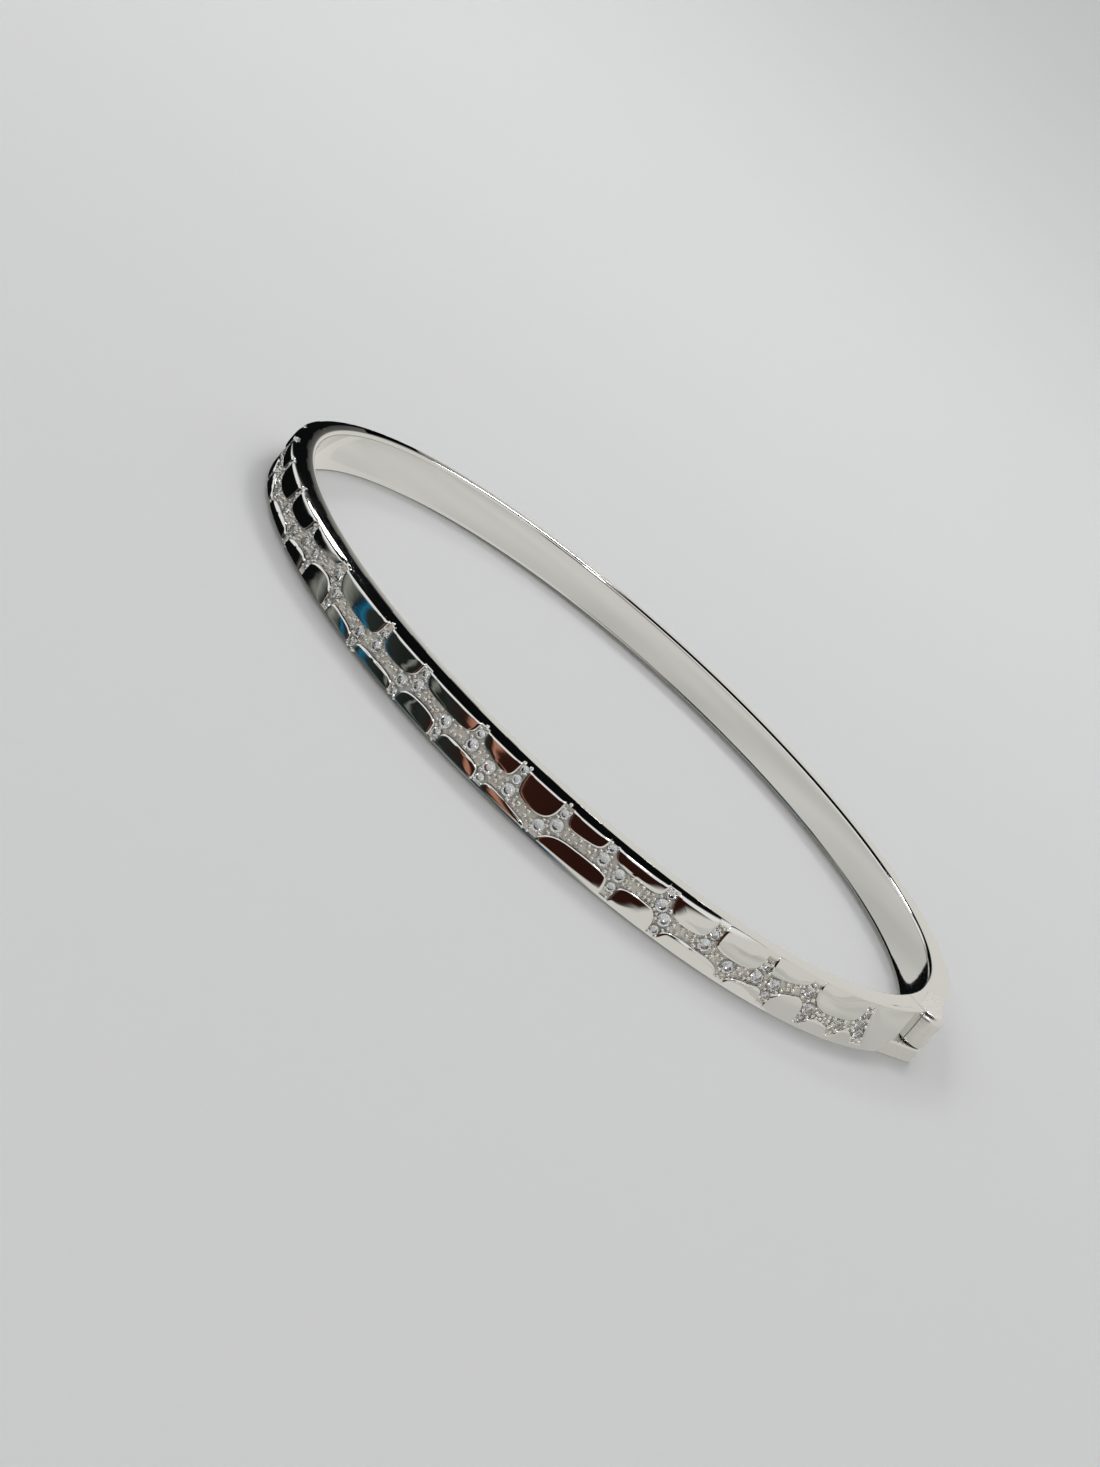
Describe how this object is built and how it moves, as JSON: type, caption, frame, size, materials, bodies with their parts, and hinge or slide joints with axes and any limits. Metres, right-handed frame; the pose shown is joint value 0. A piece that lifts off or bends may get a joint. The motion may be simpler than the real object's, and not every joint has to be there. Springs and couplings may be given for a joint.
{
  "type": "hinged bangle bracelet",
  "caption": "Hinged oval bangle with a scale-pattern front set with small stones, a plain back half, a barrel hinge and a tongue clasp.",
  "frame": {"origin": "centre of the wrist opening, half-way up the band", "axes": "+Z along the wrist opening, +X towards the hinge along the long axis, decorated half at -Y"},
  "size_m": [0.0658, 0.054, 0.0038],
  "materials": {
    "cast_silver_front": "rhodium-plated sterling silver, mirror polished",
    "silver_back": "rhodium-plated sterling silver, mirror polished",
    "pin_silver": "hard-drawn wire, filed flush",
    "spring_silver": "rolled spring strip",
    "stone": "clear round brilliant stones"
  },
  "bodies": {
    "front": {"front_half": "cast_silver_front", "hinge_pin": "pin_silver", "catch_plate": "silver_back", "stones_lower_channel_01": "stone", "stones_lower_channel_02": "stone", "stones_lower_channel_03": "stone", "stones_lower_channel_04": "stone", "stones_lower_channel_05": "stone", "stones_lower_channel_06": "stone", "stones_lower_channel_07": "stone", "stones_lower_channel_08": "stone", "stones_lower_channel_09": "stone", "stones_lower_channel_10": "stone", "stones_lower_channel_11": "stone", "stones_lower_channel_12": "stone", "stones_lower_channel_13": "stone", "stones_lower_channel_14": "stone", "stones_lower_channel_15": "stone", "stones_lower_channel_16": "stone", "stones_lower_channel_17": "stone", "stones_lower_channel_18": "stone", "stones_lower_channel_19": "stone", "stones_lower_channel_20": "stone", "stones_upper_channel_01": "stone", "stones_upper_channel_02": "stone", "stones_upper_channel_03": "stone", "stones_upper_channel_04": "stone", "stones_upper_channel_05": "stone", "stones_upper_channel_06": "stone", "stones_upper_channel_07": "stone", "stones_upper_channel_08": "stone", "stones_upper_channel_09": "stone", "stones_upper_channel_10": "stone", "stones_upper_channel_11": "stone", "stones_upper_channel_12": "stone", "stones_upper_channel_13": "stone", "stones_upper_channel_14": "stone", "stones_upper_channel_15": "stone", "stones_upper_channel_16": "stone", "stones_upper_channel_17": "stone", "stones_upper_channel_18": "stone"},
    "back": {"back_half": "silver_back", "tongue_inner_leaf": "spring_silver"},
    "tongue_spring": {"tongue_outer_leaf": "spring_silver", "thumb_press": "silver_back"}
  },
  "joints": [
    {"name": "hinge_opening", "type": "hinge", "parent": "front", "child": "back", "pos_m": [0.032, 0.0034, 0], "axis": [0, 0, -1], "range_deg": [0, 70]},
    {"name": "tongue_press", "type": "hinge", "parent": "back", "child": "tongue_spring", "pos_m": [-0.03091, -0.00648, 0], "axis": [0, 0, -1], "range_deg": [0, 4], "stiffness_Nm_per_rad": 0.02}
  ]
}
